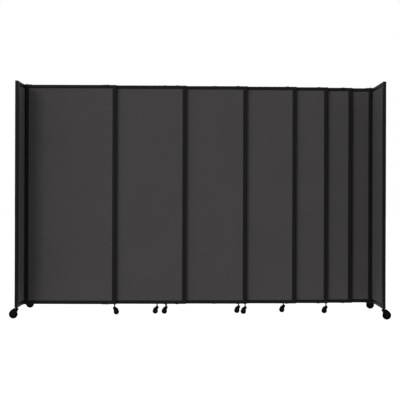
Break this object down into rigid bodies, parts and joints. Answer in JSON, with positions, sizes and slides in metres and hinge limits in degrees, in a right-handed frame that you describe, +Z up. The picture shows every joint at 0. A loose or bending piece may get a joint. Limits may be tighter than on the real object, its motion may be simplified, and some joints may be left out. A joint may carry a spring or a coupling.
{
  "type": "partition wall",
  "caption": "Free-standing sliding partition wall: overlapping framed fabric panels that telescope between two cross end frames on casters.",
  "frame": {"origin": "on the floor, under the middle of the wall's overall box as it stands part-opened", "axes": "+X along the wall towards the right end frame, +Y from panel 1 (front) to panel 7 (back), +Z up"},
  "size_m": [3.3434, 0.836, 2.089],
  "materials": {
    "frame": "satin",
    "fabric": "matte",
    "glide": "matte",
    "bracket": "satin",
    "bolt": "satin",
    "caster_fork": "satin",
    "caster_wheel": "matte"
  },
  "bodies": {
    "panel_1": {"panel_1_stiles": "frame", "panel_1_rails": "frame", "panel_1_board": "fabric", "panel_1_glides": "glide", "left_end_stiles": "frame", "left_end_rails": "frame", "left_end_board": "fabric", "left_brackets": "bracket", "left_bolts": "bolt"},
    "panel_2": {"panel_2_stiles": "frame", "panel_2_rails": "frame", "panel_2_board": "fabric", "panel_2_glides": "glide"},
    "panel_3": {"panel_3_stiles": "frame", "panel_3_rails": "frame", "panel_3_board": "fabric", "panel_3_glides": "glide"},
    "panel_4": {"panel_4_stiles": "frame", "panel_4_rails": "frame", "panel_4_board": "fabric", "panel_4_glides": "glide"},
    "panel_5": {"panel_5_stiles": "frame", "panel_5_rails": "frame", "panel_5_board": "fabric", "panel_5_glides": "glide"},
    "panel_6": {"panel_6_stiles": "frame", "panel_6_rails": "frame", "panel_6_board": "fabric", "panel_6_glides": "glide"},
    "panel_7": {"panel_7_stiles": "frame", "panel_7_rails": "frame", "panel_7_board": "fabric", "panel_7_glides": "glide", "right_end_stiles": "frame", "right_end_rails": "frame", "right_end_board": "fabric", "right_brackets": "bracket", "right_bolts": "bolt"},
    "panel_1_right_caster_fork": {"panel_1_right_caster_fork": "caster_fork"},
    "panel_1_right_caster_wheel": {"panel_1_right_caster_wheel": "caster_wheel"},
    "panel_3_left_caster_fork": {"panel_3_left_caster_fork": "caster_fork"},
    "panel_3_left_caster_wheel": {"panel_3_left_caster_wheel": "caster_wheel"},
    "panel_3_inner_caster_fork": {"panel_3_inner_caster_fork": "caster_fork"},
    "panel_3_inner_caster_wheel": {"panel_3_inner_caster_wheel": "caster_wheel"},
    "panel_3_right_caster_fork": {"panel_3_right_caster_fork": "caster_fork"},
    "panel_3_right_caster_wheel": {"panel_3_right_caster_wheel": "caster_wheel"},
    "panel_5_left_caster_fork": {"panel_5_left_caster_fork": "caster_fork"},
    "panel_5_left_caster_wheel": {"panel_5_left_caster_wheel": "caster_wheel"},
    "panel_5_right_caster_fork": {"panel_5_right_caster_fork": "caster_fork"},
    "panel_5_right_caster_wheel": {"panel_5_right_caster_wheel": "caster_wheel"},
    "panel_7_left_caster_fork": {"panel_7_left_caster_fork": "caster_fork"},
    "panel_7_left_caster_wheel": {"panel_7_left_caster_wheel": "caster_wheel"},
    "left_front_caster_fork": {"left_front_caster_fork": "caster_fork"},
    "left_front_caster_wheel": {"left_front_caster_wheel": "caster_wheel"},
    "left_back_caster_fork": {"left_back_caster_fork": "caster_fork"},
    "left_back_caster_wheel": {"left_back_caster_wheel": "caster_wheel"},
    "right_front_caster_fork": {"right_front_caster_fork": "caster_fork"},
    "right_front_caster_wheel": {"right_front_caster_wheel": "caster_wheel"},
    "right_back_caster_fork": {"right_back_caster_fork": "caster_fork"},
    "right_back_caster_wheel": {"right_back_caster_wheel": "caster_wheel"}
  },
  "joints": [
    {"name": "panel_2_slide", "type": "slide", "parent": "panel_1", "child": "panel_2", "axis": [1, 0, 0], "range_m": [-0.634, 0.001]},
    {"name": "panel_3_slide", "type": "slide", "parent": "panel_2", "child": "panel_3", "axis": [1, 0, 0], "range_m": [-0.553, 0.082]},
    {"name": "panel_4_slide", "type": "slide", "parent": "panel_3", "child": "panel_4", "axis": [1, 0, 0], "range_m": [-0.454, 0.181]},
    {"name": "panel_5_slide", "type": "slide", "parent": "panel_4", "child": "panel_5", "axis": [1, 0, 0], "range_m": [-0.294, 0.341]},
    {"name": "panel_6_slide", "type": "slide", "parent": "panel_5", "child": "panel_6", "axis": [1, 0, 0], "range_m": [-0.228, 0.407]},
    {"name": "panel_7_slide", "type": "slide", "parent": "panel_6", "child": "panel_7", "axis": [1, 0, 0], "range_m": [-0.192, 0.443]},
    {"name": "panel_1_right_swivel", "type": "hinge", "parent": "panel_1", "child": "panel_1_right_caster_fork", "pos_m": [-0.775, -0.099, 0.08], "axis": [0, 0, -1], "continuous": true},
    {"name": "panel_1_right_roll", "type": "hinge", "parent": "panel_1_right_caster_fork", "child": "panel_1_right_caster_wheel", "pos_m": [-0.759, -0.099, 0.025], "axis": [0, 1, 0], "continuous": true},
    {"name": "panel_3_left_swivel", "type": "hinge", "parent": "panel_3", "child": "panel_3_left_caster_fork", "pos_m": [-0.393, -0.033, 0.08], "axis": [0, 0, 1], "continuous": true},
    {"name": "panel_3_left_roll", "type": "hinge", "parent": "panel_3_left_caster_fork", "child": "panel_3_left_caster_wheel", "pos_m": [-0.409, -0.033, 0.025], "axis": [0, 1, 0], "continuous": true},
    {"name": "panel_3_inner_swivel", "type": "hinge", "parent": "panel_3", "child": "panel_3_inner_caster_fork", "pos_m": [-0.31, -0.038, 0.08], "axis": [0, 0, 1], "continuous": true},
    {"name": "panel_3_inner_roll", "type": "hinge", "parent": "panel_3_inner_caster_fork", "child": "panel_3_inner_caster_wheel", "pos_m": [-0.326, -0.038, 0.025], "axis": [0, 1, 0], "continuous": true},
    {"name": "panel_3_right_swivel", "type": "hinge", "parent": "panel_3", "child": "panel_3_right_caster_fork", "pos_m": [0.412, -0.033, 0.08], "axis": [0, 0, 1], "continuous": true},
    {"name": "panel_3_right_roll", "type": "hinge", "parent": "panel_3_right_caster_fork", "child": "panel_3_right_caster_wheel", "pos_m": [0.396, -0.033, 0.025], "axis": [0, 1, 0], "continuous": true},
    {"name": "panel_5_left_swivel", "type": "hinge", "parent": "panel_5", "child": "panel_5_left_caster_fork", "pos_m": [0.355, 0.033, 0.08], "axis": [0, 0, 1], "continuous": true},
    {"name": "panel_5_left_roll", "type": "hinge", "parent": "panel_5_left_caster_fork", "child": "panel_5_left_caster_wheel", "pos_m": [0.339, 0.033, 0.025], "axis": [0, 1, 0], "continuous": true},
    {"name": "panel_5_right_swivel", "type": "hinge", "parent": "panel_5", "child": "panel_5_right_caster_fork", "pos_m": [1.16, 0.033, 0.08], "axis": [0, 0, 1], "continuous": true},
    {"name": "panel_5_right_roll", "type": "hinge", "parent": "panel_5_right_caster_fork", "child": "panel_5_right_caster_wheel", "pos_m": [1.144, 0.033, 0.025], "axis": [0, 1, 0], "continuous": true},
    {"name": "panel_7_left_swivel", "type": "hinge", "parent": "panel_7", "child": "panel_7_left_caster_fork", "pos_m": [0.775, 0.099, 0.08], "axis": [0, 0, 1], "continuous": true},
    {"name": "panel_7_left_roll", "type": "hinge", "parent": "panel_7_left_caster_fork", "child": "panel_7_left_caster_wheel", "pos_m": [0.759, 0.099, 0.025], "axis": [0, 1, 0], "continuous": true},
    {"name": "left_front_swivel", "type": "hinge", "parent": "panel_1", "child": "left_front_caster_fork", "pos_m": [-1.6077, -0.3995, 0.08], "axis": [0, 0, 1], "continuous": true},
    {"name": "left_front_roll", "type": "hinge", "parent": "left_front_caster_fork", "child": "left_front_caster_wheel", "pos_m": [-1.6337, -0.3995, 0.038], "axis": [0, 1, 0], "continuous": true},
    {"name": "left_back_swivel", "type": "hinge", "parent": "panel_1", "child": "left_back_caster_fork", "pos_m": [-1.6077, 0.3995, 0.08], "axis": [0, 0, 1], "continuous": true},
    {"name": "left_back_roll", "type": "hinge", "parent": "left_back_caster_fork", "child": "left_back_caster_wheel", "pos_m": [-1.6337, 0.3995, 0.038], "axis": [0, 1, 0], "continuous": true},
    {"name": "right_front_swivel", "type": "hinge", "parent": "panel_7", "child": "right_front_caster_fork", "pos_m": [1.6077, -0.3995, 0.08], "axis": [0, 0, 1], "continuous": true},
    {"name": "right_front_roll", "type": "hinge", "parent": "right_front_caster_fork", "child": "right_front_caster_wheel", "pos_m": [1.6337, -0.3995, 0.038], "axis": [0, 1, 0], "continuous": true},
    {"name": "right_back_swivel", "type": "hinge", "parent": "panel_7", "child": "right_back_caster_fork", "pos_m": [1.6077, 0.3995, 0.08], "axis": [0, 0, 1], "continuous": true},
    {"name": "right_back_roll", "type": "hinge", "parent": "right_back_caster_fork", "child": "right_back_caster_wheel", "pos_m": [1.6337, 0.3995, 0.038], "axis": [0, 1, 0], "continuous": true}
  ]
}
